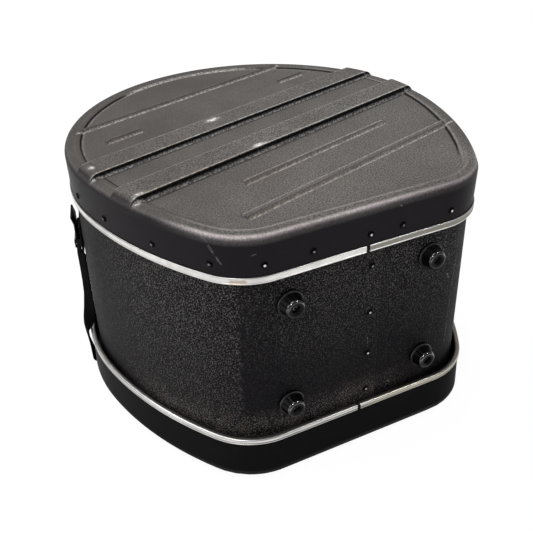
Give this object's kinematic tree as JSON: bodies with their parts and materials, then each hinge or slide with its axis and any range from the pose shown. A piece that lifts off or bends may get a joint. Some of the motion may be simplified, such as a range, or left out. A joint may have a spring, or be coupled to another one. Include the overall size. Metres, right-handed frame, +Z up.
{
  "type": "tom case",
  "caption": "D-shaped hard plastic case for a tom drum, with a riveted ribbed end, a pull-off lid, a lid strap with cam buckles, rubber feet and a folding carry handle.",
  "frame": {"origin": "middle of the whole case on the floor that its lid stands on", "axes": "+Z up, along the drum's axis, from the lid to the riveted end; +Y from the feet's flat side towards the round back with the handle; +X to the right seen from the feet's side"},
  "size_m": [0.3934, 0.4116, 0.2661],
  "materials": {
    "abs_smooth": "black, satin skirts, finely pebbled top, scuffed",
    "abs_grained": "black, coarse leather-like grain",
    "aluminium_trim": "polished, bare",
    "foot_rubber": "glossy black",
    "rivet_black": "black lacquer",
    "foot_screw_steel": "dark",
    "strap_web": "black woven web",
    "buckle_plate_black": "black",
    "buckle_lever_plastic": "smooth black",
    "hinge_pin_steel": "plain",
    "bail_steel_black": "black",
    "grip_plastic": "black",
    "bracket_black": "black",
    "foam_grey": "dark grey foam"
  },
  "bodies": {
    "lid": {"lid_shell": "abs_smooth", "lid_trim": "aluminium_trim", "lid_pad": "foam_grey", "strap": "strap_web", "strap_rivet": "rivet_black"},
    "shell": {"end_cap": "abs_smooth", "wall": "abs_grained", "end_cap_trim": "aluminium_trim", "foot_1": "foot_rubber", "foot_2": "foot_rubber", "foot_3": "foot_rubber", "foot_4": "foot_rubber", "cap_rivet_01": "rivet_black", "cap_rivet_02": "rivet_black", "cap_rivet_03": "rivet_black", "cap_rivet_04": "rivet_black", "cap_rivet_05": "rivet_black", "cap_rivet_06": "rivet_black", "cap_rivet_07": "rivet_black", "cap_rivet_08": "rivet_black", "cap_rivet_09": "rivet_black", "cap_rivet_10": "rivet_black", "cap_rivet_11": "rivet_black", "cap_rivet_12": "rivet_black", "cap_rivet_13": "rivet_black", "cap_rivet_14": "rivet_black", "cap_rivet_15": "rivet_black", "cap_rivet_16": "rivet_black", "cap_rivet_17": "rivet_black", "cap_rivet_18": "rivet_black", "cap_rivet_19": "rivet_black", "cap_rivet_20": "rivet_black", "cap_rivet_21": "rivet_black", "seam_rivet_1": "rivet_black", "seam_rivet_2": "rivet_black", "seam_rivet_3": "rivet_black", "seam_rivet_4": "rivet_black", "handle_rivet_lower_a": "rivet_black", "handle_rivet_lower_b": "rivet_black", "handle_rivet_upper_a": "rivet_black", "handle_rivet_upper_b": "rivet_black", "buckle_rivet_left": "rivet_black", "buckle_rivet_right": "rivet_black", "foot_screw_1": "foot_screw_steel", "foot_screw_2": "foot_screw_steel", "foot_screw_3": "foot_screw_steel", "foot_screw_4": "foot_screw_steel", "buckle_plate_left": "buckle_plate_black", "buckle_plate_right": "buckle_plate_black", "buckle_pin_left": "hinge_pin_steel", "buckle_pin_right": "hinge_pin_steel", "handle_bracket_lower": "bracket_black", "handle_bracket_upper": "bracket_black", "wall_lining": "foam_grey", "end_cap_pad": "foam_grey"},
    "lever_left": {"buckle_lever_left": "buckle_lever_plastic"},
    "lever_right": {"buckle_lever_right": "buckle_lever_plastic"},
    "handle": {"handle_bail": "bail_steel_black", "handle_grip": "grip_plastic"}
  },
  "joints": [
    {"name": "shell_lift", "type": "slide", "parent": "lid", "child": "shell", "axis": [0, 0, 1], "range_m": [0, 0.25]},
    {"name": "lever_left_open", "type": "hinge", "parent": "shell", "child": "lever_left", "pos_m": [-0.18775, 0.05466, 0.16], "axis": [-0.284, -0.9588, 0], "range_deg": [0, 120]},
    {"name": "lever_right_open", "type": "hinge", "parent": "shell", "child": "lever_right", "pos_m": [0.18747, -0.05649, 0.16], "axis": [0.284, 0.9588, 0], "range_deg": [0, 120]},
    {"name": "handle_swing", "type": "hinge", "parent": "shell", "child": "handle", "pos_m": [0, 0.19825, 0.1345], "axis": [0, 0, 1], "range_deg": [0, 180]}
  ]
}
